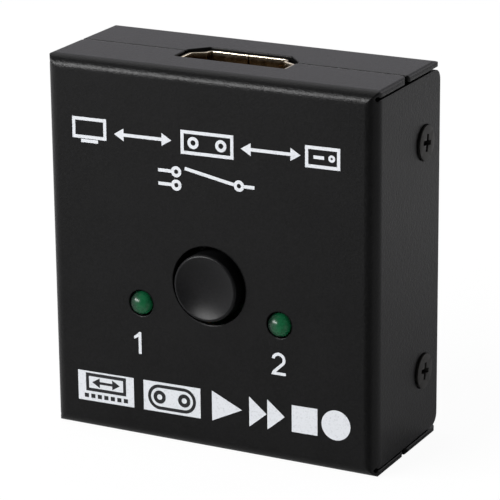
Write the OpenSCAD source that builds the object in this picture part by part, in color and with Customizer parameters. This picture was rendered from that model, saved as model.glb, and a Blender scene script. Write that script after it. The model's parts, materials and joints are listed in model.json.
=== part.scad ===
// A two-way video switch box that stands upright on a table. A folded sheet-metal case in two
// covers holds a circuit board with three keyed sockets, a push selector switch and two lamps.
// The front faces -Y, the box rests on z = 0, and the origin lies under the middle of its outline.

/* [Case] */
// Outside width of the case
case_w = 45; // [40.5:0.5:60]
// Outside depth of the case, from its front face to its back face
case_d = 18.5; // [17.4:0.1:26]
// Outside height of the case
case_h = 48.5; // [43:0.5:70]
// Thickness of the coated sheet metal
sheet_t = 0.8; // [0.7:0.05:1]
// Inside radius of the bends
bend_r = 0.8; // [0.4:0.05:1]
// Width of the gap where the edges of the two covers meet
seam_gap = 0.3; // [0.15:0.05:0.4]
// Distance from the front face to the middle of the seam
seam_depth = 9; // [8.4:0.1:10]
// Rounding of the outer edges of the flanges
edge_r = 0.4; // [0.1:0.05:0.5]
// Corner radius of the front flanges at the seam
flange_corner_r = 1.2; // [0.3:0.1:1.5]
// Corner radius of the side panels at the back
panel_corner_r = 1.5; // [0.5:0.1:2.5]
// Corner radius of the rear flanges at the back
rear_corner_r = 1; // [0.5:0.1:1.5]
// Radius of the relief punched where two bends meet
relief_r = 0.3; // [0.2:0.05:0.4]
// Height of each screw ear on the rear cover
ear_h = 8; // [6:0.5:10]
// Reach of the screw ears forward of the back face
ear_reach = 7; // [6.6:0.1:8]

/* [Case screws] */
// Thread diameter of the screws that join the covers
case_screw_d = 2.5; // [2:0.1:2.6]
// Diameter of their countersunk heads
case_screw_head_d = 4.4; // [4:0.1:5]
// Length of a case screw over its head
case_screw_len = 3.3; // [3.1:0.1:3.7]
// Distance between the two screws of one side
case_screw_pitch = 29.5; // [24:0.1:32]
// Distance of the screws from the back face
case_screw_setback = 4.4; // [4:0.1:4.8]
// Reach of a head's rim out of the side panel
case_screw_proud = 0.3; // [0.15:0.05:0.4]
// Share of the sheet's thickness that a countersink takes
countersink_share = 0.9; // [0.8:0.05:0.95]
// Play round a screw head and round a plain shank
screw_play = 0.15; // [0.1:0.05:0.25]
// Play round a thread in its tapped hole
thread_play = 0.03; // [0.02:0.01:0.05]
// Width of a cross recess's slots
recess_w = 0.6; // [0.4:0.05:0.8]
// Depth of a cross recess
recess_deep = 0.8; // [0.5:0.1:1]
// Angle at which the cross recesses come to rest
recess_turn = 10; // [0:5:45]

/* [Button] */
// Diameter of the button cap
button_d = 8.6; // [7.5:0.1:9.2]
// Height of the button's centre above the table
button_z = 21.6; // [20.7:0.1:22.5]
// Reach of the released button in front of the case
button_proud = 1.2; // [0.6:0.1:2]
// Full travel of the button
button_travel = 1.6; // [0.8:0.1:1.8]
// Play all round the button in its hole
button_play = 0.75; // [0.4:0.05:1]
// Rounding of the button's rim
rim_r = 0.35; // [0.25:0.05:0.5]
// Depth of the finger dish in the button's face
dish_deep = 0.95; // [0.3:0.05:1]
// Thickness of the cap at the rim of its face
cap_top_t = 1.6; // [1.3:0.1:2]
// Thickness of the cap's skirt
cap_wall = 0.9; // [0.7:0.1:1.2]
// Diameter of the boss inside the cap
boss_d = 4.8; // [4.6:0.1:5.4]

/* [Lamps] */
// Diameter of a lamp's lens
lamp_d = 3; // [2.6:0.1:3.4]
// Distance of each lamp from the middle of the front
lamp_x = 9.6; // [9:0.1:10.4]
// Height of the lamps above the table
lamp_z = 18; // [17.4:0.1:18.5]
// Reach of a lens in front of the case
lamp_proud = 1.1; // [0.5:0.1:1.6]
// Play round a lens in its hole
lamp_play = 0.2; // [0.15:0.05:0.3]
// Length of a lens over its collar
lamp_len = 5.3; // [4.8:0.1:6]
// Diameter of the collar at a lens's foot
lamp_collar_d = 3.8; // [3.6:0.1:4]
// Thickness of that collar
lamp_collar_h = 1; // [0.8:0.1:1.2]
// Width of a square lead
lead_w = 0.5; // [0.4:0.05:0.6]
// Distance between a lamp's two leads
lead_pitch = 2.54; // [2.3:0.02:2.6]

/* [Sockets] */
// Inside width of a socket's mouth on its wide side
mouth_w = 14; // [13.6:0.1:14.4]
// Inside width of a socket's mouth on its narrow side
mouth_narrow_w = 10.6; // [10.2:0.1:11]
// Inside height of a socket's mouth, from its wide side to its narrow side
mouth_h = 4.55; // [4.4:0.05:4.7]
// Height of the straight side next to the wide side
mouth_side_h = 2.7; // [2.4:0.1:2.9]
// Height of the slanted shoulder after it
mouth_key_h = 0.9; // [0.7:0.1:1.2]
// Inside radius of the shell's corners
shell_bend_r = 0.4; // [0.2:0.05:0.5]
// Thickness of the shell's strip
shell_t = 0.3; // [0.25:0.05:0.35]
// Length of a shell from its mouth to its back
shell_len = 11.5; // [11:0.1:12]
// Width of the joint where the two ends of the strip meet
shell_joint = 0.15; // [0.1:0.05:0.2]
// Distance from the front face to the wide side of the mouths
socket_depth = 6.6; // [6.3:0.1:7.1]
// Depth of the mouths below the case's outside
mouth_recess = 0.3; // [0.1:0.05:0.5]
// Play round a shell in the cut-out of the case
cutout_play = 0.4; // [0.25:0.05:0.5]
// Distance of each numbered socket's middle from the side of the case
port_inset = 12; // [11.7:0.1:12.3]
// Width of a socket's tongue
tongue_w = 11; // [10.4:0.1:11.6]
// Thickness of a socket's tongue
tongue_t = 1.9; // [1.7:0.1:2.1]
// Depth of the tongue's tip below the mouth
tongue_recess = 1.8; // [1:0.1:2]
// Length of the insulator's block at the back of a shell
block_len = 3; // [2.5:0.1:3.5]
// Play round the block in its shell
block_play = 0.05; // [0.03:0.01:0.08]
// Distance between neighbouring contacts of one row
contact_pitch = 1; // [0.96:0.01:1.04]
// Width of a contact
contact_w = 0.3; // [0.25:0.01:0.35]
// Thickness of a contact
contact_t = 0.2; // [0.15:0.01:0.25]
// Width of a shell's leg
leg_w = 1.4; // [1.2:0.1:1.6]
// Distance of a shell's front legs behind its mouth
leg_front = 4.2; // [3.8:0.1:4.8]
// Distance of a shell's rear legs behind its mouth
leg_rear = 9.2; // [8.6:0.1:9.6]
// Distance of the spring fingers from the middle of a shell
finger_x = 3.2; // [2.8:0.1:3.4]
// Width of a spring finger in the shell
finger_w = 1.7; // [1.4:0.1:2]
// Distance of the fingers' roots behind the mouth
finger_root = 6.7; // [6.3:0.1:7.2]
// Length of a spring finger
finger_len = 4.6; // [4:0.1:5]
// Reach of a spring finger into the mouth
finger_dip = 0.4; // [0.3:0.05:0.5]

/* [Circuit board] */
// Thickness of the board
board_t = 1.6; // [1.2:0.1:1.8]
// Gap between the board's ends and the flanges
board_end_gap = 1.25; // [1:0.05:1.4]
// Gap between the board's sides and the tips of the case screws
board_side_gap = 0.4; // [0.3:0.1:0.5]
// Corner radius of the board
board_corner_r = 1; // [0.5:0.1:1.5]
// Play round pins and legs in the board's holes
pin_play = 0.15; // [0.1:0.05:0.2]
// Length of pins and legs that stands out behind the board
tail_len = 0.9; // [0.5:0.1:1.2]
// Thread diameter of the board screws
board_screw_d = 2.5; // [2:0.1:2.6]
// Diameter of the board screws' heads
board_screw_head_d = 4.4; // [4:0.1:4.8]
// Height of the board screws' heads
board_screw_head_h = 1.6; // [1.2:0.1:1.8]
// Length of the board screws' threads below the board
board_screw_bite = 2.4; // [2:0.1:2.6]
// Distance of the board screws from the sides of the case
board_screw_inset = 7.3; // [6.9:0.1:7.7]
// Height of the lower board screws above the table
board_screw_low = 15.6; // [15:0.1:16]
// Distance of the upper board screws below the top
board_screw_top = 8; // [7:0.1:9]
// Diameter of the standoffs behind the board
standoff_d = 4.5; // [4.2:0.1:5]

/* [Selector switch] */
// Width of the square switch housing
switch_w = 8; // [7.6:0.1:8.4]
// Height of the housing above the board
switch_h = 6.3; // [6.2:0.1:6.6]
// Wall of the housing
switch_wall = 0.8; // [0.7:0.05:0.9]
// Thickness of the base that closes the housing
switch_base_t = 1.2; // [1:0.1:1.3]
// Width of the plunger's square shaft
shaft_w = 2.8; // [2.5:0.1:3]
// Width of the plunger's foot
foot_w = 4.2; // [4:0.1:4.4]
// Height of the plunger's foot
foot_h = 1.6; // [1.4:0.1:1.8]
// Running play of the plunger, and the gap at its upper stop
plunger_play = 0.12; // [0.08:0.02:0.16]
// Gap between the cap and the housing when the button is fully in
cap_clear = 0.5; // [0.3:0.1:0.7]
// Outside diameter of the return spring
spring_d = 2.4; // [2:0.1:2.6]
// Diameter of the spring's wire
spring_wire = 0.3; // [0.25:0.01:0.35]
// Number of coils in the spring
spring_coils = 4; // [3:1:4]
// Depth of the spring's pocket in the plunger's foot
spring_pocket = 0.9; // [0.7:0.1:1]
// Thickness of a switch terminal
terminal_t = 0.3; // [0.25:0.05:0.35]
// Width of a switch terminal
terminal_w = 0.7; // [0.6:0.05:0.8]
// Distance between the terminals of one row
terminal_pitch = 2; // [1.8:0.1:2.1]
// Diameter of the latch pin's wire
latch_d = 0.5; // [0.4:0.05:0.55]
// Thickness of a wiper spring
wiper_t = 0.15; // [0.1:0.05:0.2]

/* [Chips] */
// Width of the square routing chip
routing_w = 5.5; // [5:0.1:6]
// Height of the routing chip above the board
routing_h = 0.9; // [0.7:0.1:1.2]
// Length of a protection chip
protection_l = 2.5; // [2:0.1:2.8]
// Height of a protection chip above the board
protection_h = 0.6; // [0.5:0.05:0.8]
// Length of a chip resistor or capacitor
chip_l = 1.6; // [1.2:0.1:1.8]
// Width of a chip resistor, capacitor or protection chip
chip_w = 0.8; // [0.6:0.05:1]
// Height of a chip resistor above the board
resistor_h = 0.45; // [0.35:0.05:0.6]
// Height of a chip capacitor above the board
capacitor_h = 0.8; // [0.6:0.05:1]
// Gap between neighbouring chips
chip_gap = 1; // [0.8:0.05:1.1]

/* [Hidden] */
$fn = 48;
// Length added to a cut so that it passes right through
past = 1;

coat_colour = "#2a2a2b";
screw_colour = "#1d1d1e";
gold_colour = "#c9a25a";
steel_colour = "#b9bbbd";
plastic_colour = "#161617";
board_colour = "#1d5b34";
lens_colour = "#17683a";

// Case: outside bend radius, place of the front and back faces, reach of the side panels, and depth
// at which the slits between the front flanges and the panels begin
bend_out = bend_r + sheet_t;
front_reach = max(button_proud, lamp_proud);
front_y = (front_reach - case_d) / 2;
back_y = front_y + case_d;
panel_lo = sheet_t + seam_gap;
panel_h = case_h - 2 * panel_lo;
front_flange_d = seam_depth - seam_gap / 2;
rear_flange_d = case_d - seam_depth - seam_gap / 2;
plate_w = case_w - 2 * (sheet_t + seam_gap);
slit_depth = bend_out / 2;

// Case screws: the head's cone ends inside the panel, and the screw reaches into the case
head_h = min((case_screw_head_d - case_screw_d) / 2, countersink_share * sheet_t);
case_screw_reach = case_screw_len - case_screw_proud;
case_screw_y = back_y - case_screw_setback;
case_screw_zs = [for (s = [-1, 1]) case_h / 2 + s * case_screw_pitch / 2];

// Sockets and board: depths are measured from the front face
port_x = case_w / 2 - port_inset;
board_screw_x = case_w / 2 - board_screw_inset;
board_depth = socket_depth + mouth_h + shell_t;
board_w = case_w - 2 * (case_screw_reach + board_side_gap);
board_lo = sheet_t + board_end_gap;
board_h = case_h - 2 * board_lo;
back_inner_depth = case_d - sheet_t;
tail_depth = board_depth + board_t + tail_len;
standoff_h = back_inner_depth - board_depth - board_t;
board_screw_at = [for (sx = [-1, 1], z = [board_screw_low, case_h - board_screw_top])
    [sx * board_screw_x, z]];
mouth = [
    [-mouth_w / 2, 0], [mouth_w / 2, 0], [mouth_w / 2, mouth_side_h],
    [mouth_narrow_w / 2, mouth_side_h + mouth_key_h], [mouth_narrow_w / 2, mouth_h],
    [-mouth_narrow_w / 2, mouth_h], [-mouth_narrow_w / 2, mouth_side_h + mouth_key_h],
    [-mouth_w / 2, mouth_side_h]
];
tongue_front = (mouth_h - tongue_t) / 2;
tongue_back = tongue_front + tongue_t;
tongue_bevel = tongue_t / 5;
contact_tip = tongue_recess + 2 * tongue_bevel;
contact_rows = [[10, tongue_front - contact_t / 2], [9, tongue_back - contact_t / 2]];
foot_len = 4 * contact_t;
leg_zs = [leg_front, leg_rear];
// The cut-out in the flanges spans the shoulder of the mouth with a straight bevel
cutout = [for (i = [0, 1, 2, 4, 5, 7]) mouth[i]];

// Switch: the plunger hangs under the housing's top, with its travel below it
switch_top = board_depth - switch_h;
cap_h = button_proud + switch_top - button_travel - cap_clear;
cavity_w = switch_w - 2 * switch_wall;
foot_depth = switch_top + switch_wall + plunger_play;
base_depth = board_depth - switch_base_t;
terminal_x = cavity_w / 2 - terminal_t - plunger_play;
latch_z = (foot_w / 2 + cavity_w / 2) / 2;
latch_hook = foot_depth + foot_h / 2;
latch_slot = (foot_w - shaft_w) / 3;
spring_top = foot_depth + foot_h - spring_pocket;
spring_len = base_depth - spring_top;

// Chips: the routing chip stands beside the switch, above the lamp leads and the lower screws, and
// the small chips have their places on the right half of the board, mirrored to the left half
socket_end = mouth_recess + shell_len + 1.5 * contact_t + foot_len;
chips_lo = max(lamp_z + lead_w / 2, board_screw_low + board_screw_head_d / 2) + chip_gap;
routing_x = switch_w / 2 + chip_gap + routing_w / 2;
routing_z = chips_lo + routing_w / 2;
protection_at = [[port_x, socket_end + chip_gap + chip_w / 2],
    [(protection_l + chip_gap) / 2, case_h - socket_end - chip_gap - chip_w / 2]];
capacitor_at = [for (i = [0:2])
    [routing_x + (routing_w + chip_l) / 2 + chip_gap, chips_lo + chip_w / 2 + i * (chip_w + chip_gap)]];
resistor_at = [for (p = capacitor_at) p + [chip_l + chip_gap, 0]];

// Unit outward normal of edge i of a closed path that runs anticlockwise
function edge_normal(path, i) =
    let (d = path[(i + 1) % len(path)] - path[i])
    [d.y, -d.x] / norm(d);

// The same path with every edge moved outwards by g
function grown(path, g) = [for (i = [0:len(path) - 1])
    let (a = edge_normal(path, (i + len(path) - 1) % len(path)), b = edge_normal(path, i))
    path[i] + g * (a + b) / (1 + a * b)];

// The same path with every corner turned into an arc of radius r
function softened(path, r, steps = 4) = [for (i = [0:len(path) - 1])
    let (
        a = edge_normal(path, (i + len(path) - 1) % len(path)),
        b = edge_normal(path, i),
        turn = atan2(a.x * b.y - a.y * b.x, a * b),
        side = sign(turn),
        centre = path[i] - side * r * (a + b) / (1 + a * b),
        start = atan2(a.y, a.x)
    )
    for (j = [0:steps])
        centre + side * r * [cos(start + turn * j / steps), sin(start + turn * j / steps)]];

// A rectangle on the x axis whose two corners at y = 0 are rounded
module nose(w, d, r) {
    translate([-w / 2, r])
        square([w, d - r]);
    translate([r - w / 2, 0])
        square([w - 2 * r, d]);
    for (s = [-1, 1])
        translate([s * (w / 2 - r), r])
            circle(r);
}

// A rectangle about the origin with rounded corners
module rounded(w, h, r) {
    square([w, h - 2 * r], center = true);
    square([w - 2 * r, h], center = true);
    for (sx = [-1, 1], sy = [-1, 1])
        translate([sx * (w / 2 - r), sy * (h / 2 - r)])
            circle(r);
}

// A flat drawing in x and z, carried backwards from a depth behind the front face
module behind(depth, d) {
    translate([0, front_y + depth + d, 0])
        rotate([90, 0, 0])
            linear_extrude(d)
                children();
}

// A flat drawing in y and z, carried along x about the middle
module along_x(w) {
    rotate([90, 0, 90])
        linear_extrude(w, center = true)
            children();
}

// Places a turned piece so that its axis runs backwards from a point on the front
module turned_back(x, depth, z) {
    translate([x, front_y + depth, z])
        rotate([-90, 0, 0])
            children();
}

// A sheet bent into a channel: its web at y = 0, its two legs running to +y
module channel(w, d, len) {
    linear_extrude(len, center = true)
        difference() {
            nose(w, d, bend_out);
            translate([0, sheet_t])
                nose(w - 2 * sheet_t, d, bend_r);
        }
}

// A cover's web with its top and bottom flanges, standing on z = 0 with its web at y = 0; the
// flanges have one corner radius next to the web and one at the seam
module flanged_web(flange_d, web_corner_r, seam_corner_r) {
    intersection() {
        translate([0, 0, case_h / 2])
            rotate([0, 90, 0])
                channel(case_h, flange_d, case_w);
        translate([0, 0, -past])
            linear_extrude(case_h + 2 * past)
                intersection() {
                    nose(case_w, flange_d, web_corner_r);
                    translate([0, flange_d])
                        mirror([0, 1])
                            nose(case_w, flange_d, seam_corner_r);
                }
        translate([0, flange_d + past, case_h / 2])
            rotate([90, 0, 0])
                linear_extrude(flange_d + 2 * past)
                    rounded(case_w, case_h, edge_r);
    }
}

// Clears both sides of a web beyond a half width, between two heights
module side_strips(half_w, z, h) {
    for (s = [-1, 1])
        translate([s * (half_w + case_w / 2), 0, z + h / 2])
            cube([case_w, 2 * case_d, h], center = true);
}

// Places a child at each case screw, its axis running inwards from the side panel
module at_case_screws() {
    for (s = [0, 1], z = case_screw_zs)
        mirror([s, 0, 0])
            translate([case_w / 2, case_screw_y, z])
                rotate([0, -90, 0])
                    children();
}

// Places a socket with its mouth at z = 0 facing down, at the top of the case turned over
module at_common() {
    translate([0, front_y + socket_depth, case_h - mouth_recess])
        rotate([0, 180, 0])
            children();
}

module at_port(side) {
    translate([side * port_x, front_y + socket_depth, mouth_recess])
        children();
}

// The cut-outs that the three sockets need in the flanges
module socket_cutouts() {
    module cutout() {
        translate([0, 0, -mouth_recess - past])
            linear_extrude(sheet_t + 2 * past)
                polygon(softened(grown(cutout, shell_t + cutout_play), shell_bend_r));
    }
    at_common()
        cutout();
    for (s = [-1, 1])
        at_port(s)
            cutout();
}

// Outline of a side panel in y and z about mid-height: it has the full height as far as the slits
module panel_outline() {
    intersection() {
        rotate(-90)
            nose(case_h, case_d + past, bend_out);
        union() {
            translate([case_d, 0])
                rotate(90)
                    nose(panel_h, case_d + past, panel_corner_r);
            translate([-past, -case_h / 2])
                square([past + slit_depth, case_h]);
        }
    }
}

// Front cover: front plate, full side panels and the front half of the top and bottom. The bends
// run into each other at the corners as far as the slits between the flanges and the panels
module front_cover() {
    flat_half = case_w / 2 - bend_out;
    color(coat_colour)
        difference() {
            translate([0, front_y, 0]) {
                difference() {
                    flanged_web(front_flange_d, bend_out, flange_corner_r);
                    side_strips(flat_half, sheet_t, case_h - 2 * sheet_t);
                }
                intersection() {
                    translate([0, 0, case_h / 2])
                        channel(case_w, case_d, case_h);
                    translate([0, 0, case_h / 2])
                        along_x(2 * case_w)
                            panel_outline();
                    side_strips(flat_half, 0, case_h);
                }
            }
            for (s = [-1, 1], z = [panel_lo - seam_gap / 2, case_h - panel_lo + seam_gap / 2])
                translate([s * case_w / 2, front_y + slit_depth, z])
                    rotate([0, 90, 0])
                        cylinder(h = 2 * bend_out, r = relief_r, center = true);
            turned_back(0, -past, button_z)
                cylinder(h = sheet_t + 2 * past, d = button_d + 2 * button_play);
            for (s = [-1, 1])
                turned_back(s * lamp_x, -past, lamp_z)
                    cylinder(h = sheet_t + 2 * past, d = lamp_d + 2 * lamp_play);
            at_case_screws() {
                translate([0, 0, -past])
                    cylinder(h = sheet_t + 2 * past, d = case_screw_d + 2 * screw_play);
                cylinder(h = head_h, d1 = case_screw_head_d + 2 * screw_play,
                    d2 = case_screw_d + 2 * screw_play);
            }
            socket_cutouts();
        }
}

// Rear cover: back plate between the side panels, the rear half of the top and bottom, and
// four tapped ears bent forward inside the side panels
module rear_cover() {
    ear_half = plate_w / 2 - bend_out;
    color(coat_colour)
        difference() {
            union() {
                translate([0, back_y, 0])
                    rotate([0, 0, 180])
                        difference() {
                            flanged_web(rear_flange_d, rear_corner_r, edge_r);
                            side_strips(plate_w / 2, sheet_t, case_h - 2 * sheet_t);
                            for (z = case_screw_zs)
                                side_strips(ear_half, z - ear_h / 2 - relief_r, ear_h + 2 * relief_r);
                        }
                for (z = case_screw_zs)
                    intersection() {
                        translate([0, back_y, z])
                            rotate([0, 0, 180])
                                channel(plate_w, ear_reach, ear_h);
                        side_strips(ear_half, z - ear_h / 2, ear_h);
                    }
            }
            at_case_screws()
                cylinder(h = 2 * panel_lo + sheet_t, d = case_screw_d + 2 * thread_play);
            socket_cutouts();
        }
}

// A cross recess cut into a screw head at z = 0, its axis along +z
module cross_recess(d) {
    for (turn = [recess_turn, recess_turn + 90])
        rotate([0, 0, turn])
            translate([0, 0, recess_deep / 2 - past / 2])
                cube([d, recess_w, recess_deep + past], center = true);
}

// Case screws: countersunk, two on each side, with a rim that the thin sheet can't take in
module case_screws() {
    color(screw_colour)
        at_case_screws()
            difference() {
                union() {
                    translate([0, 0, -case_screw_proud])
                        cylinder(h = case_screw_proud, d = case_screw_head_d);
                    cylinder(h = head_h, d1 = case_screw_head_d, d2 = case_screw_d);
                    cylinder(h = case_screw_reach, d = case_screw_d);
                }
                translate([0, 0, -case_screw_proud])
                    cross_recess(case_screw_head_d / 2);
            }
}

// Standoffs: threaded pillars fixed to the inside of the back plate
module board_standoffs() {
    color(steel_colour)
        for (p = board_screw_at)
            turned_back(p.x, board_depth + board_t, p.y)
                difference() {
                    cylinder(h = standoff_h, d = standoff_d);
                    translate([0, 0, -past])
                        cylinder(h = board_screw_bite + 2 * past, d = board_screw_d + 2 * thread_play);
                }
}

// Board screws: cheese heads on the board, threads in the standoffs
module board_screws() {
    color(steel_colour)
        for (p = board_screw_at)
            turned_back(p.x, board_depth - board_screw_head_h, p.y)
                difference() {
                    union() {
                        cylinder(h = board_screw_head_h, d = board_screw_head_d);
                        cylinder(h = board_screw_head_h + board_t + board_screw_bite, d = board_screw_d);
                    }
                    cross_recess(board_screw_head_d / 2);
                }
}

// Circuit board with the holes for its screws, the socket legs, the switch and the lamps
module circuit_board() {
    color(board_colour)
        difference() {
            behind(board_depth, board_t)
                translate([0, case_h / 2])
                    rounded(board_w, board_h, board_corner_r);
            for (p = board_screw_at)
                turned_back(p.x, board_depth - past, p.y)
                    cylinder(h = board_t + 2 * past, d = board_screw_d + 2 * screw_play);
            for (s = [-1, 1], x = [-1, 1])
                turned_back(s * lamp_x + x * lead_pitch / 2, board_depth - past, lamp_z)
                    cylinder(h = board_t + 2 * past, d = lead_w * sqrt(2) + 2 * pin_play);
            terminals(pin_play);
            at_common()
                shell_legs(pin_play);
            for (s = [-1, 1])
                at_port(s)
                    shell_legs(pin_play);
        }
}

// The four legs of a shell, which pass through the board; play widens them into slots
module shell_legs(play) {
    leg_end = mouth_h + shell_t + board_t + tail_len;
    for (s = [0, 1], z = leg_zs)
        mirror([s, 0, 0])
            translate([mouth_w / 2 - play, mouth_side_h / 2, z - leg_w / 2 - play])
                cube([shell_t + 2 * play, leg_end - mouth_side_h / 2, leg_w + 2 * play]);
}

// Socket shell: a strip folded to the keyed mouth, its ends meeting on the narrow side, with
// two sprung fingers in each long wall and four legs
module socket_shell() {
    color(gold_colour) {
        difference() {
            linear_extrude(shell_len)
                difference() {
                    polygon(softened(grown(mouth, shell_t), shell_bend_r + shell_t));
                    polygon(softened(mouth, shell_bend_r));
                }
            translate([-shell_joint / 2, mouth_h - past, -past])
                cube([shell_joint, shell_t + 2 * past, shell_len + 2 * past]);
            for (x = [-finger_x, finger_x], y = [-shell_t, mouth_h])
                translate([x - finger_w / 2 - shell_t, y - past, finger_root - finger_len - shell_t])
                    cube([finger_w + 2 * shell_t, shell_t + 2 * past, finger_len + shell_t]);
        }
        for (x = [-finger_x, finger_x]) {
            translate([x, 0, 0])
                shell_finger();
            translate([x, mouth_h, 0])
                mirror([0, 1, 0])
                    shell_finger();
        }
        shell_legs(0);
    }
}

// One finger: rooted in the wall at y = 0, dipping into the mouth and rising again at its tip
module shell_finger() {
    tip = finger_root - finger_len;
    knee = finger_root - 0.75 * finger_len;
    along_x(finger_w)
        polygon([
            [-shell_t, finger_root + shell_t], [0, finger_root + shell_t], [0, finger_root],
            [finger_dip, knee], [finger_dip / 3, tip], [finger_dip / 3 - shell_t, tip],
            [finger_dip - shell_t, knee], [-shell_t, finger_root]
        ]);
}

// Socket insulator: a block in the back of the shell with the tongue that carries the contacts
module socket_insulator() {
    block_z = shell_len - block_len;
    color(plastic_colour)
        difference() {
            union() {
                translate([0, 0, block_z])
                    linear_extrude(block_len)
                        polygon(softened(grown(mouth, -block_play), shell_bend_r));
                along_x(tongue_w)
                    polygon([
                        [tongue_front, block_z + past], [tongue_front, tongue_recess + tongue_bevel],
                        [tongue_front + tongue_bevel, tongue_recess],
                        [tongue_back - tongue_bevel, tongue_recess],
                        [tongue_back, tongue_recess + tongue_bevel], [tongue_back, block_z + past]
                    ]);
            }
            contacts();
        }
}

// The nineteen contacts: half sunk in both faces of the tongue, through the block, down behind
// it and along the board
module contacts() {
    drop = shell_len + contact_t / 2;
    foot = mouth_h + shell_t;
    for (row = contact_rows, i = [0:row[0] - 1])
        translate([(i - (row[0] - 1) / 2) * contact_pitch, 0, 0])
            along_x(contact_w)
                polygon([
                    [row[1], contact_tip], [row[1] + contact_t, contact_tip],
                    [row[1] + contact_t, drop], [foot, drop], [foot, drop + contact_t + foot_len],
                    [foot - contact_t, drop + contact_t + foot_len], [foot - contact_t, drop + contact_t],
                    [row[1], drop + contact_t]
                ]);
}

module socket_contacts() {
    color(gold_colour)
        contacts();
}

module common_socket_shell() {
    at_common()
        socket_shell();
}

module common_socket_insulator() {
    at_common()
        socket_insulator();
}

module common_socket_contacts() {
    at_common()
        socket_contacts();
}

module port_1_socket_shell() {
    at_port(-1)
        socket_shell();
}

module port_1_socket_insulator() {
    at_port(-1)
        socket_insulator();
}

module port_1_socket_contacts() {
    at_port(-1)
        socket_contacts();
}

module port_2_socket_shell() {
    at_port(1)
        socket_shell();
}

module port_2_socket_insulator() {
    at_port(1)
        socket_insulator();
}

module port_2_socket_contacts() {
    at_port(1)
        socket_contacts();
}

// Button cap: a dished face with a rounded rim, a skirt, and a boss that grips the shaft
module button_cap() {
    cap_r = button_d / 2;
    dish_edge = cap_r - rim_r;
    dish_ball = (dish_edge * dish_edge + dish_deep * dish_deep) / (2 * dish_deep);
    color(plastic_colour)
        turned_back(0, -button_proud, button_z)
            difference() {
                union() {
                    rotate_extrude()
                        difference() {
                            union() {
                                square([cap_r - rim_r, cap_h]);
                                translate([0, rim_r])
                                    square([cap_r, cap_h - rim_r]);
                                translate([cap_r - rim_r, rim_r])
                                    circle(rim_r);
                            }
                            translate([0, cap_top_t])
                                square([cap_r - cap_wall, cap_h]);
                        }
                    translate([0, 0, cap_top_t - past / 2])
                        cylinder(h = cap_h - cap_top_t + past / 2, d = boss_d);
                }
                translate([0, 0, dish_deep - dish_ball])
                    rotate([0, 90, 0])
                        sphere(dish_ball, $fn = 96);
                translate([0, 0, cap_top_t + cap_h / 2])
                    cube([shaft_w, shaft_w, cap_h], center = true);
            }
}

// Plunger: a square shaft that carries the cap, and a foot held under the housing's top
module switch_plunger() {
    shaft_top = cap_top_t - button_proud;
    color("#d9d6cc")
        difference() {
            union() {
                behind(shaft_top, foot_depth + foot_h / 2 - shaft_top)
                    translate([0, button_z])
                        square(shaft_w, center = true);
                behind(foot_depth, foot_h)
                    translate([0, button_z])
                        square(foot_w, center = true);
            }
            turned_back(0, spring_top, button_z)
                cylinder(h = spring_pocket + past, d = spring_d + 2 * plunger_play);
            behind(foot_depth - past, foot_h + 2 * past)
                translate([0, button_z + foot_w / 2])
                    square([latch_d + 2 * plunger_play, 2 * latch_slot], center = true);
        }
}

// Wipers: a sprung strip on each side of the foot, bowed towards the terminals
module switch_wipers() {
    bow = terminal_x - plunger_play - foot_w / 2 - wiper_t;
    color(gold_colour)
        for (s = [0, 1])
            mirror([s, 0, 0])
                turned_back(foot_w / 2, foot_depth, button_z)
                    intersection() {
                        translate([0, -foot_w / 4, 0])
                            cube([bow + wiper_t, foot_w / 2, foot_h]);
                        union() {
                            translate([wiper_t / 2, 0, foot_h / 2])
                                cube([wiper_t, foot_w / 2, foot_h], center = true);
                            translate([wiper_t, 0, foot_h / 2])
                                rotate([90, 0, 0])
                                    cylinder(h = foot_w / 2, r = bow, center = true);
                        }
                    }
}

// Return spring: one open wire helix between the base and the pocket in the foot
coil_r = (spring_d - spring_wire) / 2;
coil_rings = 8;
wire_sides = 6;
spring_steps = spring_coils * coil_rings;
spring_rise = spring_len - spring_wire - plunger_play;
spring_start = spring_top + plunger_play / 2 + spring_wire / 2;

function coil_point(i) = [
    coil_r * cos(360 * i / coil_rings),
    front_y + spring_start + spring_rise * i / spring_steps,
    button_z + coil_r * sin(360 * i / coil_rings)
];

// One ring of the wire, square to the helix
function wire_ring(i) =
    let (
        a = 360 * i / coil_rings,
        out = [cos(a), 0, sin(a)],
        climb = spring_rise / (spring_coils * 360) * 180 / PI,
        run = [-coil_r * sin(a), climb, coil_r * cos(a)],
        side = cross(run, out) / norm(run)
    )
    [for (k = [0:wire_sides - 1])
        coil_point(i) + spring_wire / 2
            * (out * cos(360 * k / wire_sides) + side * sin(360 * k / wire_sides))];

module switch_spring() {
    points = [for (i = [0:spring_steps]) each wire_ring(i)];
    walls = [for (i = [0:spring_steps - 1], k = [0:wire_sides - 1])
        let (
            a = i * wire_sides + k,
            b = i * wire_sides + (k + 1) % wire_sides,
            c = a + wire_sides,
            d = b + wire_sides
        )
        each [[a, b, c], [b, d, c]]];
    first = [for (k = [1:wire_sides - 2]) [0, k + 1, k]];
    last = [for (k = [1:wire_sides - 2]) [0, k, k + 1] + spring_steps * wire_sides * [1, 1, 1]];
    color(steel_colour)
        polyhedron(points, concat(walls, first, last));
}

// Least gap between one coil and the next, measured from point to point along the wire
spring_self_gap = min([for (i = [0:spring_steps - coil_rings], j = [i + coil_rings / 2 : spring_steps])
    norm(coil_point(j) - coil_point(i))]) - spring_wire;
echo(spring_self_gap = spring_self_gap);

// Latch pin: a bent wire from the base up to the guide slot of the foot
module switch_latch_pin() {
    reach = latch_z - foot_w / 2 + latch_slot - plunger_play;
    color(steel_colour) {
        turned_back(0, latch_hook, button_z + latch_z)
            cylinder(h = base_depth + switch_base_t / 2 - latch_hook, d = latch_d);
        translate([0, front_y + latch_hook, button_z + latch_z]) {
            sphere(d = latch_d);
            rotate([0, 180, 0])
                cylinder(h = reach, d = latch_d);
        }
    }
}

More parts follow.
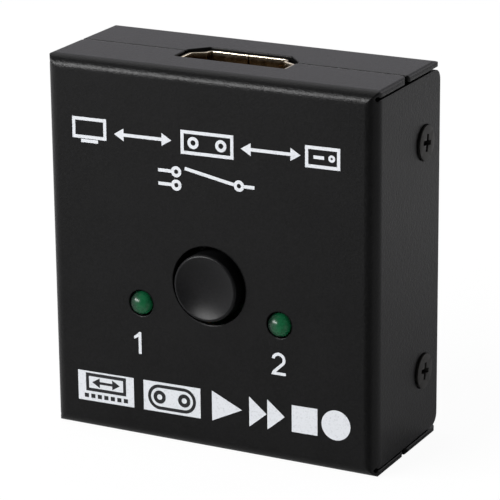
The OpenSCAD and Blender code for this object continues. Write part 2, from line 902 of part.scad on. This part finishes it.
// Switch housing: a square cup, open to the board, whose top guides the shaft
module switch_housing() {
    color(plastic_colour)
        translate([0, 0, button_z])
            difference() {
                behind(switch_top, switch_h)
                    rounded(switch_w, switch_w, switch_wall / 2);
                behind(switch_top + switch_wall, switch_h)
                    square(cavity_w, center = true);
                behind(switch_top - past, switch_wall + 2 * past)
                    square(shaft_w + 2 * plunger_play, center = true);
            }
}

// The six terminals of the switch, from beside the wipers down through the board
module terminals(play) {
    for (sx = [0, 1], z = [-1, 0, 1])
        mirror([sx, 0, 0])
            behind(foot_depth, tail_depth - foot_depth)
                translate([terminal_x - play, button_z + z * terminal_pitch - terminal_w / 2 - play])
                    square([terminal_t + 2 * play, terminal_w + 2 * play]);
}

module switch_terminals() {
    color(gold_colour)
        terminals(0);
}

// Switch base: closes the housing against the board and holds the terminals and the pin
module switch_base() {
    color("#4a4a4c")
        difference() {
            behind(base_depth, switch_base_t)
                translate([0, button_z])
                    square(cavity_w - 2 * block_play, center = true);
            terminals(0);
            switch_latch_pin();
        }
}

// A lamp's lens: a domed cylinder with a collar at its foot
module lamp(side) {
    r = lamp_d / 2;
    color(lens_colour)
        turned_back(side * lamp_x, -lamp_proud, lamp_z)
            rotate_extrude() {
                intersection() {
                    translate([0, r])
                        circle(r);
                    square(r);
                }
                translate([0, r])
                    square([r, lamp_len - r]);
                translate([0, lamp_len - lamp_collar_h])
                    square([lamp_collar_d / 2, lamp_collar_h]);
            }
}

// A lamp's two leads, from its foot through the board
module lamp_leads(side) {
    color(steel_colour)
        for (x = [-1, 1])
            behind(lamp_len - lamp_proud, tail_depth - lamp_len + lamp_proud)
                translate([side * lamp_x + x * lead_pitch / 2, lamp_z])
                    square(lead_w, center = true);
}

module lamp_1() {
    lamp(-1);
}

module lamp_2() {
    lamp(1);
}

module lamp_1_leads() {
    lamp_leads(-1);
}

module lamp_2_leads() {
    lamp_leads(1);
}

// Routing chip: a flat square package with one bevelled corner
module routing_chip() {
    color(plastic_colour)
        behind(board_depth - routing_h, routing_h)
            translate([-routing_x, routing_z])
                difference() {
                    square(routing_w, center = true);
                    translate([-routing_w / 2, routing_w / 2])
                        rotate(45)
                            square(routing_w / 8, center = true);
                }
}

// Small chips soldered on both halves of the board, each with raised metal ends
module small_chips(places, l, h) {
    end_l = l / 5;
    lift = h / 10;
    for (p = places, s = [-1, 1])
        translate([s * p.x, 0, p.y]) {
            behind(board_depth - h + lift, h - lift)
                square([l, chip_w], center = true);
            for (e = [-1, 1])
                behind(board_depth - h, h)
                    translate([e * (l - end_l) / 2, 0])
                        square([end_l, chip_w], center = true);
        }
}

module protection_chips() {
    color(plastic_colour)
        small_chips(protection_at, protection_l, protection_h);
}

module chip_resistors() {
    color("#2b2f36")
        small_chips(resistor_at, chip_l, resistor_h);
}

module chip_capacitors() {
    color("#a08560")
        small_chips(capacitor_at, chip_l, capacitor_h);
}

front_cover();
rear_cover();
case_screws();
board_standoffs();
board_screws();
circuit_board();
common_socket_shell();
common_socket_insulator();
common_socket_contacts();
port_1_socket_shell();
port_1_socket_insulator();
port_1_socket_contacts();
port_2_socket_shell();
port_2_socket_insulator();
port_2_socket_contacts();
button_cap();
switch_plunger();
switch_wipers();
switch_spring();
switch_latch_pin();
switch_housing();
switch_base();
switch_terminals();
lamp_1();
lamp_2();
lamp_1_leads();
lamp_2_leads();
routing_chip();
protection_chips();
chip_resistors();
chip_capacitors();
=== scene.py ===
import json
import math

import bmesh
import bpy
from mathutils import Matrix, Vector


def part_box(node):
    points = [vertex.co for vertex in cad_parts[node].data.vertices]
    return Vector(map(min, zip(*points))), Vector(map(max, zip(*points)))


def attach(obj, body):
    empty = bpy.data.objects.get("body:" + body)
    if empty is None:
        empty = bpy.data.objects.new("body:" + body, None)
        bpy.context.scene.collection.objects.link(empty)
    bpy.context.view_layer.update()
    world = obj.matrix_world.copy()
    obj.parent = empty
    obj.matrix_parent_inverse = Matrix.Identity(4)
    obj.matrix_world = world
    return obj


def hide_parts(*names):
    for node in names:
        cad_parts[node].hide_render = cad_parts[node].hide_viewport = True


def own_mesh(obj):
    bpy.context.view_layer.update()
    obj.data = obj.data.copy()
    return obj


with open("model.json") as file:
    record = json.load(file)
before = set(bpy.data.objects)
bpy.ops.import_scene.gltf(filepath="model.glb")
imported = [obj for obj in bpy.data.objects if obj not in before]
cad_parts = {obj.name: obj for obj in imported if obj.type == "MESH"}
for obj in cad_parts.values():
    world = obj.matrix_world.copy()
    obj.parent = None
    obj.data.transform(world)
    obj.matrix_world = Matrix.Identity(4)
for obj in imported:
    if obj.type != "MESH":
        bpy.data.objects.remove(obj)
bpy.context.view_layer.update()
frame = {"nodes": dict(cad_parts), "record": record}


# Camera: the photographer's long lens, a little above the box and to the right of its front. The
# picture was taken with a slight roll, so the uprights lean by the same fraction of a degree here.
MM = 0.001
camera = bpy.data.objects.new("camera", bpy.data.cameras.new("camera"))
camera.data.sensor_width = 36
camera.data.lens = 204.419
camera.data.clip_start = 0.01
camera.matrix_world = (
    Matrix.Translation(Vector((156.174, -299.188, 132.435)) * MM)
    @ Matrix.Rotation(math.radians(27.378), 4, "Z")
    @ Matrix.Rotation(math.radians(90 - 17.850), 4, "X")
    @ Matrix.Rotation(math.radians(-0.556), 4, "Z")
)
bpy.context.scene.collection.objects.link(camera)
bpy.context.scene.camera = camera
bpy.context.scene.view_settings.view_transform = "Standard"


# Studio: a white table under a dim ceiling, with a long key softbox on the left of the camera and
# weak ones overhead and behind on the right. The table glows for the camera but keeps the box's shadow, and
# a grey card lies on it by the right front corner, where only the coat's reflections show it.
class Wire:
    """One output of a node tree. Arithmetic on a wire adds the Math node that does it."""

    def __init__(self, tree, socket):
        self.tree = tree
        self.socket = socket

    def node(self, kind, settings=None, inputs=None, output=0):
        """Adds a node of this type, sets its settings, then its inputs, and gives one output."""
        made = self.tree.nodes.new(kind)
        for name, value in (settings or {}).items():
            setattr(made, name, value)
        for name, value in (inputs or {}).items():
            if isinstance(value, Wire):
                self.tree.links.new(value.socket, made.inputs[name])
            else:
                made.inputs[name].default_value = value
        return Wire(self.tree, made.outputs[output])

    def maths(self, operation, first, second=0.0):
        return self.node("ShaderNodeMath", {"operation": operation}, {0: first, 1: second})

    def __add__(self, other):
        return self.maths("ADD", self, other)

    def __sub__(self, other):
        return self.maths("SUBTRACT", self, other)

    def __rsub__(self, other):
        return self.maths("SUBTRACT", other, self)

    def __mul__(self, other):
        return self.maths("MULTIPLY", self, other)

    def __abs__(self):
        return self.maths("ABSOLUTE", self)

    __radd__ = __add__
    __rmul__ = __mul__

    def step(self, low, high):
        """0 below low and 1 above high, with a smooth rise between them."""
        return self.node("ShaderNodeMapRange", {"interpolation_type": "SMOOTHSTEP"},
                         {"Value": self, "From Min": low, "From Max": high})

    def mix(self, where_0, where_1):
        """A colour that goes from one to the other as this value goes from 0 to 1."""
        return self.node("ShaderNodeMix", {"data_type": "RGBA"},
                         {0: self, 6: where_0, 7: where_1}, output=2)

    def axis(self, name):
        return self.node("ShaderNodeSeparateXYZ", inputs={0: self}, output="XYZ".index(name))

    def noise(self, scale, detail=2.0, rough=0.5):
        return self.node("ShaderNodeTexNoise", None,
                         {"Vector": self, "Scale": scale, "Detail": detail, "Roughness": rough})


def grey(value, blue=1.0):
    return (value, value, value * blue, 1.0)


world = bpy.data.worlds.new("studio")
world.use_nodes = True
bpy.context.scene.world = world
sky = Wire(world.node_tree, None)
outward = sky.node("ShaderNodeTexCoord")
overhead = outward.axis("Z").step(0.5, 0.9)
near_side = (outward.axis("X") * 0.6 - outward.axis("Y")).step(0.3, 0.9)
bright = (1 - overhead) * (1 - near_side)
dim_room, pale_room = grey(0.1), (0.54, 0.53, 0.56, 1)
background = world.node_tree.nodes["Background"]
world.node_tree.links.new(bright.mix(dim_room, pale_room).socket, background.inputs["Color"])

floor_mesh = bpy.data.meshes.new("floor")
reach = 3.0
floor_mesh.from_pydata([(-reach, -reach, 0), (reach, -reach, 0), (reach, reach, 0), (-reach, reach, 0)],
                       [], [(0, 1, 2, 3)])
floor = bpy.data.objects.new("floor", floor_mesh)
floor.location.z = -0.02 * MM
bpy.context.scene.collection.objects.link(floor)
table_top = bpy.data.materials.new("table_top")
table_top.use_nodes = True
tree = table_top.node_tree
start = Wire(tree, None)
paper = tree.nodes["Principled BSDF"]
paper.inputs["Roughness"].default_value = 0.9
paper.inputs["Specular IOR Level"].default_value = 0.0
paper_white, card_grey = grey(0.7), grey(0.22)
card_turn = math.radians(20)
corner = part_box("front_cover")[1].x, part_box("front_cover")[0].y
spot = start.node("ShaderNodeVectorMath", {"operation": "SUBTRACT"},
                  {0: start.node("ShaderNodeNewGeometry"), 1: (*corner, 0)})
aside = start.node("ShaderNodeVectorMath", {"operation": "DOT_PRODUCT"},
                   {0: start.node("ShaderNodeVectorMath", {"operation": "NORMALIZE"}, {0: spot}),
                    1: (math.sin(card_turn), -math.cos(card_turn), 0)}, output=1)
card = aside.step(0.75, 0.92) * start.node("ShaderNodeLightPath", output="Is Glossy Ray")
tree.links.new(card.mix(paper_white, card_grey).socket, paper.inputs["Base Color"])
glow_share, glow_strength = 0.9, 1.05
seen = glow_share * start.node("ShaderNodeLightPath", output="Is Camera Ray")
lit = start.node("ShaderNodeEmission", None, {"Color": grey(1.0), "Strength": glow_strength})
table_mix = start.node("ShaderNodeMixShader", None, {0: seen, 1: Wire(tree, paper.outputs[0]), 2: lit})
tree.links.new(table_mix.socket, tree.nodes["Material Output"].inputs["Surface"])
floor_mesh.materials.append(table_top)


def softbox(name, place, size, power, aim=(0, 0, 24)):
    lamp = bpy.data.lights.new(name, "AREA")
    lamp.shape = "RECTANGLE"
    lamp.size, lamp.size_y = size
    lamp.energy = power
    holder = bpy.data.objects.new(name, lamp)
    holder.location = Vector(place) * MM
    away = (Vector(place) - Vector(aim)) * MM
    holder.rotation_euler = away.to_track_quat("Z", "Y").to_euler()
    bpy.context.scene.collection.objects.link(holder)


softbox("key_softbox", (-530, -660, 450), (0.85, 0.2), 10.5)
softbox("top_softbox", (-250, 300, 800), (0.8, 0.8), 1.9)
softbox("rear_softbox", (620, 760, 420), (0.6, 0.5), 1.2)


# Front cover: 0.8 mm steel sheet, blanked and folded into the front plate, both side panels and half
# of the top and bottom, then powder coated a satin black whose fine grain breaks up the light.
nodes = frame["nodes"]


def finish(name, **constants):
    """A material with fixed values on its shader, and the wire of its place in millimetres."""
    material = bpy.data.materials.new(name)
    material.use_nodes = True
    shader = material.node_tree.nodes["Principled BSDF"]
    for socket, value in constants.items():
        shader.inputs[socket.replace("_", " ")].default_value = value
    start = Wire(material.node_tree, None)
    place = start.node("ShaderNodeVectorMath", {"operation": "SCALE"},
                       {0: start.node("ShaderNodeTexCoord", output="Object"), "Scale": 1 / MM})
    return material, place


def feed(material, bump=None, edge=0.0, **varying):
    """Links what changes over the surface to the shader, a height in millimetres as relief, and
    rounds the look of the edges to a radius in millimetres."""
    tree = material.node_tree
    shader = tree.nodes["Principled BSDF"]
    for socket, wire in varying.items():
        tree.links.new(wire.socket, shader.inputs[socket.replace("_", " ")])
    start = Wire(tree, None)
    normal = (start.node("ShaderNodeBevel", {"samples": 8}, {"Radius": edge * MM}) if edge
              else start.node("ShaderNodeNewGeometry", output="Normal"))
    if bump:
        normal = bump.node("ShaderNodeBump", None, {"Height": bump, "Distance": MM, "Normal": normal})
    tree.links.new(normal.socket, shader.inputs["Normal"])


def dress(material, *names):
    for name in names:
        nodes[name].data.materials.clear()
        nodes[name].data.materials.append(material)


coat, place = finish("black_powder_coat", Specular_IOR_Level=0.2)
grain = place.noise(3.4, 3.0, 0.6)
cloud = place.noise(0.12, 2.0)
feed(coat,
     Base_Color=(grain * 0.7 + cloud * 0.3).step(0.3, 0.7).mix(grey(0.002, 1.03), grey(0.005, 1.03)),
     Roughness=0.24 + 0.14 * grain,
     bump=0.04 * grain, edge=0.3)
dress(coat, "front_cover")


# Front print: white ink, screen printed on the coat before the cover is folded. The numbers stand
# under the lamps, with a change-over diagram above and a row of signal tiles along the foot.
front_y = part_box("front_cover")[0].y / MM
ink_t = 0.02
print_slope = 0.0145


def arc(x, z, r, start, end, steps=12):
    turns = [math.radians(start + (end - start) * i / steps) for i in range(steps + 1)]
    return [(x + r * math.cos(a), z + r * math.sin(a)) for a in turns]


def shifted(outline, x, z):
    return [(px + x, pz + z) for px, pz in outline]


def line(points, width):
    """The outline of a line of this width along open points, with square ends and mitred turns."""
    sides = []
    for i, (x, z) in enumerate(points):
        before = Vector(points[max(i, 1)]) - Vector(points[max(i, 1) - 1])
        after_i = min(i, len(points) - 2)
        after = Vector(points[after_i + 1]) - Vector(points[after_i])
        a, b = before.normalized(), after.normalized()
        normal = Vector((-(a.y + b.y), a.x + b.x)) / (1 + a.dot(b))
        sides.append((Vector((x, z)) + normal * width / 2, Vector((x, z)) - normal * width / 2))
    return [tuple(s[0]) for s in sides] + [tuple(s[1]) for s in reversed(sides)]


def printed(name, outlines, under, material):
    """One layer of ink on the front plate, from closed outlines in x and z."""
    bm = bmesh.new()
    top, bottom = (front_y - under - ink_t) * MM, (front_y - under) * MM
    for outline in outlines:
        near = [bm.verts.new((x * MM, top, (z + x * print_slope) * MM)) for x, z in outline]
        far = [bm.verts.new((v.co.x, bottom, v.co.z)) for v in near]
        bm.faces.new(near)
        for i in range(len(outline)):
            j = (i + 1) % len(outline)
            bm.faces.new((near[j], near[i], far[i], far[j]))
        bm.faces.new(far[::-1])
    bmesh.ops.recalc_face_normals(bm, faces=bm.faces)
    bmesh.ops.triangulate(bm, faces=[f for f in bm.faces if len(f.verts) > 4])
    mesh = bpy.data.meshes.new(name)
    bm.to_mesh(mesh)
    bm.free()
    mesh.materials.append(material)
    piece = bpy.data.objects.new(name, mesh)
    bpy.context.scene.collection.objects.link(piece)
    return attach(piece, "enclosure")


def ring(x, z, r, width):
    return line(arc(x, z, r, 0, 360, 32), width)


def frame_of(x, z, w, h, width):
    """The outline of a rectangle about a point, drawn as a line of this width."""
    return line([(x, z - h / 2), (x + w / 2, z - h / 2), (x + w / 2, z + h / 2), (x - w / 2, z + h / 2),
                 (x - w / 2, z - h / 2), (x, z - h / 2)], width)


def both_ways(x, z, length, width):
    """An arrow with a head at each end."""
    head_long = 3.2 * width
    head_wide = 1.92 * width
    half = [(-length / 2, 0), (head_long - length / 2, head_wide), (head_long - length / 2, width / 2)]
    over = half + [(-px, pz) for px, pz in reversed(half)]
    return shifted(over + [(-px, -pz) for px, pz in over[1:-1]], x, z)


def block(x, z, w, h):
    return [(x - w / 2, z - h / 2), (x + w / 2, z - h / 2), (x + w / 2, z + h / 2), (x - w / 2, z + h / 2)]


stroke = 0.42
one = [(0.22, 0), (0.22, 2.9), (-0.08, 2.9), (-0.36, 2.58), (-0.8, 2.28), (-0.8, 1.9),
       (-0.5, 2.04), (-0.18, 2.26), (-0.18, 0)]
two = (arc(0, 1.97, 0.94, 170, -32) + [(-0.36, 0.37), (0.98, 0.37), (0.98, 0), (-0.98, 0),
       (-0.9, 0.3), (-0.72, 0.58)] + arc(0, 1.97, 0.55, -36, 170))
numbers_z = 11.4
one_x, two_x = -9.9, 9.5
white = [shifted(one, one_x, numbers_z), shifted(two, two_x, numbers_z)]

path_z, arrow_l, sign_h = 39.63, 8.0, 2.3
monitor_x, player_x, hub_r, hub_x = -16.4, 15.5, 0.55, 1.9
left_arrow_x, right_arrow_x = -8.9, 8.6
white += [frame_of(monitor_x, path_z + 0.35, 4.4, sign_h, stroke),
          block(monitor_x, path_z - 1.3, 2.4, stroke),
          both_ways(left_arrow_x, path_z, arrow_l, stroke),
          frame_of(0, path_z, 6.8, 2.6, stroke),
          ring(-hub_x, path_z, hub_r, stroke), ring(hub_x, path_z, hub_r, stroke),
          both_ways(right_arrow_x, path_z, arrow_l, stroke),
          frame_of(player_x, path_z, 4.2, sign_h, stroke),
          block(player_x - 0.5, path_z, 1.4, stroke), ring(player_x + 1.2, path_z, 0.3, 0.3)]

pole_z, pole_x, throw, dot_r = 34.9, 4.3, 0.85, 0.5
dot_out = dot_r + stroke / 2
lead_left, lead_right = -6.8, 6.4
white += [ring(pole_x, pole_z, dot_r, stroke),
          line([(pole_x + dot_out, pole_z), (lead_right, pole_z)], stroke),
          line([(pole_x - dot_out, pole_z + 0.1), (1.2 - pole_x, pole_z + throw + 0.55)], stroke)]
for way_z in (pole_z + throw, pole_z - throw):
    white += [ring(-pole_x, way_z, dot_r, stroke),
              line([(lead_left, way_z), (-pole_x - dot_out, way_z)], stroke)]

row_z, row_h = 6.02, 3.97
screen_x, tape_x, tile_w = -14.97, -5.47, 8.1
white += [block(screen_x, row_z, tile_w, row_h), block(tape_x, row_z, tile_w, row_h)]
white += [[(x, row_z - row_h / 2), (x + w, row_z), (x, row_z + row_h / 2)]
          for x, w in ((0.2, 4.2), (5.4, 2.4), (7.9, 2.4))]
white += [block(13.0, row_z, 3.5, 3.5), arc(17.25, row_z, 1.95, 0, 350, 35)]

reel_x, band_r = 1.75, 1.45
black = [frame_of(screen_x, row_z + 0.55, 5.4, 2.0, stroke), both_ways(screen_x, row_z + 0.55, 4.0, 0.34)]
black += [block(screen_x + i * 0.95, row_z - 1.3, 0.6, 0.55) for i in range(-3, 4)]
black += [line(arc(tape_x + reel_x, row_z, band_r, -90, 90, 16)
               + arc(tape_x - reel_x, row_z, band_r, 90, 270, 16)
               + [(tape_x + reel_x, row_z - band_r)], stroke)]
black += [ring(tape_x + side * reel_x, row_z, 0.62, 0.5) for side in (-1, 1)]

white_ink, place = finish("white_ink", Specular_IOR_Level=0.35)
speckle = place.noise(4.0, 3.0, 0.6)
feed(white_ink,
     Base_Color=speckle.step(0.25, 0.5).mix((0.56, 0.58, 0.6, 1), (0.69, 0.71, 0.74, 1)),
     Roughness=0.4 + 0.2 * speckle, bump=0.006 * speckle)
printed("front_print_white", white, 0, white_ink)
black_ink, place = finish("black_ink", Specular_IOR_Level=0.2)
speckle = place.noise(4.0, 3.0, 0.6)
feed(black_ink, Base_Color=speckle.step(0.3, 0.7).mix(grey(0.012, 1.1), grey(0.02, 1.1)),
     Roughness=0.4 + 0.2 * speckle)
printed("front_print_black", black, ink_t, black_ink)


# Rear cover: the same coated sheet, folded into the back plate, the other half of the top and
# bottom, and four tapped ears that lie inside the side panels.
dress(coat, "rear_cover")


# Case screws: four M2.5 countersunk screws with cross recesses, black plated, two on each side.
# They pull the side panels of the front cover onto the ears of the rear cover.
def soften(name, width, segments=2):
    """Breaks a node's sharp edges by a bevel of this width in millimetres."""
    weld = nodes[name].modifiers.new("weld", "WELD")
    weld.merge_threshold = 0.0005 * MM
    bevel = nodes[name].modifiers.new("edges", "BEVEL")
    bevel.width = width * MM
    bevel.segments = segments
    bevel.limit_method = "ANGLE"
    bevel.angle_limit = math.radians(40)
    bevel.use_clamp_overlap = True
    shade = nodes[name].modifiers.new("shade", "WEIGHTED_NORMAL")
    shade.weight = 80


plating, place = finish("black_plating", Metallic=0.75)
wear = place.noise(3.0, 3.0)
feed(plating, Base_Color=wear.step(0.35, 0.7).mix((0.028, 0.027, 0.025, 1), (0.045, 0.043, 0.04, 1)),
     Roughness=0.38 + 0.2 * wear, bump=0.004 * wear)
dress(plating, "case_screws")
soften("case_screws", 0.06)


# Standoffs and board screws: turned steel pillars riveted to the back plate, and cheese-head screws
# that hold the board on them. Both are bright zinc plated.
zinc, place = finish("zinc_plating", Metallic=1.0)
turned = place.noise(1.5, 4.0, 0.6)
feed(zinc, Base_Color=turned.step(0.3, 0.7).mix((0.52, 0.53, 0.55, 1), (0.68, 0.68, 0.66, 1)),
     Roughness=0.24 + 0.16 * turned)
dress(zinc, "board_standoffs", "board_screws")


# Circuit board: glass-filled laminate under green solder mask, with copper tracks that show as
# paler lines through the mask. It hangs on the four standoffs.
mask_green, place = finish("solder_mask", Coat_Weight=0.3)
upright = place.node("ShaderNodeMapping", None, {"Vector": place, "Rotation": (math.pi / 2, 0, 0)})
face = place.node("ShaderNodeVectorMath", {"operation": "MULTIPLY"}, {0: upright, 1: (1, 1, 0)})
tracks = place.node("ShaderNodeTexBrick", {"offset": 0.37, "squash": 0.6},
                    {"Vector": face, "Scale": 0.45, "Mortar Size": 0.06,
                     "Color1": grey(0), "Color2": grey(0), "Mortar": grey(1)})
weave = place.noise(5.0, 2.0)
feed(mask_green, Base_Color=tracks.mix((0.006, 0.05, 0.022, 1), (0.02, 0.13, 0.05, 1)),
     Roughness=0.28 + 0.12 * weave, bump=0.02 * tracks + 0.004 * weave)
dress(mask_green, "circuit_board")


# Video sockets: each has a gold-plated strip folded to the keyed mouth, a black moulded block with
# the tongue, and nineteen gold contacts in two rows. Their legs are soldered to the board. The
# strip's colour is painted near white at the rim as a painted highlight and dark brown inside as
# painted shade.
sockets = ("common_socket", "port_1_socket", "port_2_socket")
gold, place = finish("gold_plating", Metallic=1.0)
gold_mottle = place.noise(1.2, 4.0, 0.6)
top_rim, foot_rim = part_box("common_socket_shell")[1].z / MM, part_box("port_1_socket_shell")[0].z / MM
middle, mouth = (top_rim + foot_rim) / 2, (top_rim - foot_rim) / 2
# Painted highlight and painted shade: a band along the rim is near white, and the rest of the strip is dark
# brown.
rim_highlight = (abs(place.axis("Z") - middle) + 0.3 * gold_mottle).step(mouth - 0.5, mouth + 0.1)
shaded_inside = gold_mottle.step(0.3, 0.7).mix((0.16, 0.095, 0.04, 1), (0.3, 0.19, 0.09, 1))
feed(gold, Base_Color=rim_highlight.mix(shaded_inside, (0.95, 0.84, 0.66, 1)), Roughness=0.16 + 0.16 * gold_mottle, edge=0.18)
contact_gold, place = finish("contact_gold", Metallic=1.0)
wiped = place.noise(1.8, 3.0)
feed(contact_gold, Base_Color=wiped.step(0.3, 0.7).mix((0.72, 0.5, 0.22, 1), (0.86, 0.64, 0.32, 1)),
     Roughness=0.2 + 0.16 * wiped)
moulding, place = finish("black_moulding", Specular_IOR_Level=0.4)
flow = place.noise(2.0, 3.0)
feed(moulding, Base_Color=flow.step(0.3, 0.7).mix(grey(0.008), grey(0.014)), Roughness=0.4 + 0.2 * flow,
     bump=0.004 * flow)
for socket in sockets:
    dress(gold, socket + "_shell")
    dress(contact_gold, socket + "_contacts")
    dress(moulding, socket + "_insulator")


# Selector switch: a moulded housing and base with tinned terminals. The plunger in it carries gilt
# wipers, rides on a steel spring, and is guided by a bent wire pin.
tin, place = finish("tin_plating", Metallic=1.0)
dull = place.noise(2.0, 3.0)
feed(tin, Base_Color=dull.step(0.3, 0.7).mix(grey(0.55), grey(0.7)), Roughness=0.3 + 0.2 * dull)
natural, place = finish("natural_moulding", Subsurface_Weight=0.1)
milky = place.noise(1.0, 3.0)
feed(natural, Base_Color=milky.step(0.3, 0.7).mix((0.6, 0.57, 0.5, 1), (0.72, 0.7, 0.64, 1)),
     Roughness=0.4 + 0.15 * milky)
dress(moulding, "switch_housing", "switch_base")
dress(tin, "switch_terminals")
dress(natural, "switch_plunger")
dress(contact_gold, "switch_wipers")
dress(zinc, "switch_spring", "switch_latch_pin")


# Return spring: four coils of steel wire between the base of the switch and the plunger's foot. It
# is wound as the solid one is and stands on the base.
joints = {joint["name"]: joint for joint in frame["record"]["behaviour"]["joints"]}
press_depth = joints["button_press"]["range_m"][1]
foot_end, base_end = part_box("switch_spring")
coil = bpy.data.objects.new("return_spring", nodes["switch_spring"].data.copy())
bpy.context.scene.collection.objects.link(coil)
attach(coil, "enclosure")
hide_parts("switch_spring")
1 - press_depth / (base_end.y - foot_end.y)
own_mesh(coil)


# Lamps: two 3 mm light-emitting diodes in green diffusing resin, pushed through the front plate
# from behind. Their square leads run back to the board.
resin, place = finish("green_resin", Transmission_Weight=0.25, IOR=1.5, Specular_IOR_Level=0.3)
haze = place.noise(1.4, 2.0)
across = place.axis("X")
lamp_x = 9.6
# Painted light: each lamp's base colour runs from dark green on its left to bright green on its right, a
# painted glow standing in for light that passes through the dome.
painted_lit_side = (abs(across) - lamp_x) * across.maths("SIGN", across) + 0.5 * haze
feed(resin, Base_Color=painted_lit_side.step(-0.9, 1.7).mix((0.001, 0.012, 0.006, 1), (0.011, 0.19, 0.068, 1)),
     Roughness=0.22 + 0.1 * haze)
dress(resin, "lamp_1", "lamp_2")
dress(tin, "lamp_1_leads", "lamp_2_leads")


# Chips: black epoxy packages and small fired ceramic parts, all soldered to the board beside the
# switch and the sockets. The case hides them.
epoxy, place = finish("chip_epoxy")
cast = place.noise(6.0, 2.0)
feed(epoxy, Base_Color=cast.step(0.3, 0.7).mix(grey(0.014), grey(0.024)), Roughness=0.5 + 0.2 * cast,
     bump=0.004 * cast)
dress(epoxy, "routing_chip", "protection_chips", "chip_resistors")
ceramic, place = finish("chip_ceramic")
fired = place.noise(4.0, 2.0)
feed(ceramic, Base_Color=fired.step(0.3, 0.7).mix((0.3, 0.2, 0.11, 1), (0.4, 0.28, 0.16, 1)),
     Roughness=0.45 + 0.15 * fired)
dress(ceramic, "chip_capacitors")


# Button: a satin black moulded cap with a dished face and a rounded rim, pressed onto the shaft of
# the switch. It is the only piece that a hand moves.
satin, place = finish("button_moulding", Specular_IOR_Level=0.2)
sparkle = place.noise(4.0, 3.0, 0.6)
feed(satin, Base_Color=sparkle.step(0.3, 0.7).mix(grey(0.003, 1.1), grey(0.006, 1.1)),
     Roughness=0.3 + 0.14 * sparkle, bump=0.006 * sparkle, edge=0.12)
dress(satin, "button_cap")
